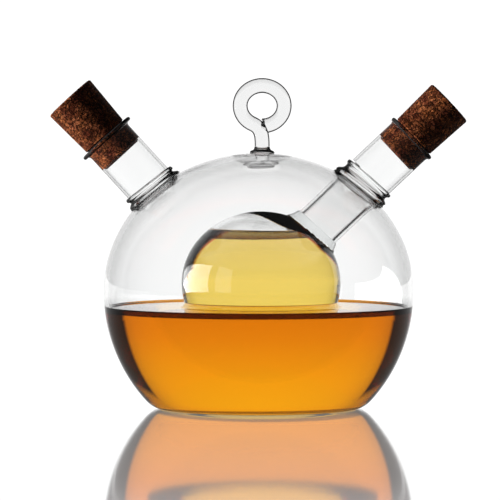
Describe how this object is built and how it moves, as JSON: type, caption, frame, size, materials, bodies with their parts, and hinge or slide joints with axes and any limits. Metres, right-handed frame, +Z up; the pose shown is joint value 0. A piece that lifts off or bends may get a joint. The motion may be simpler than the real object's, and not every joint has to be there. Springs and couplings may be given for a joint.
{
  "type": "oil and vinegar cruet",
  "caption": "Clear glass globe cruet for oil and vinegar with a bulb hung inside, slanting corked necks and a loop handle on top.",
  "frame": {"origin": "middle of the flat base, on the surface the cruet stands on", "axes": "+Z up; +X towards the neck that leads to the inner bulb; -Y is the front"},
  "size_m": [0.1607, 0.12, 0.1276],
  "materials": {
    "clear_glass": "polished",
    "dark_cork": "matte",
    "amber_vinegar": "gloss",
    "golden_oil": "gloss"
  },
  "bodies": {
    "vessel": {"outer_globe": "clear_glass", "inner_bulb": "clear_glass", "left_neck": "clear_glass", "left_neck_seal": "clear_glass", "right_neck": "clear_glass", "right_neck_seal": "clear_glass", "bulb_seal": "clear_glass", "handle_foot": "clear_glass", "loop_handle": "clear_glass", "vinegar": "amber_vinegar", "oil": "golden_oil"},
    "left_cork": {"left_cork": "dark_cork"},
    "right_cork": {"right_cork": "dark_cork"}
  },
  "joints": [
    {"name": "left_cork_pull", "type": "slide", "parent": "vessel", "child": "left_cork", "axis": [-0.6756, 0, 0.7373], "range_m": [0, 0.045]},
    {"name": "right_cork_pull", "type": "slide", "parent": "vessel", "child": "right_cork", "axis": [0.7278, 0, 0.6858], "range_m": [0, 0.045]}
  ]
}
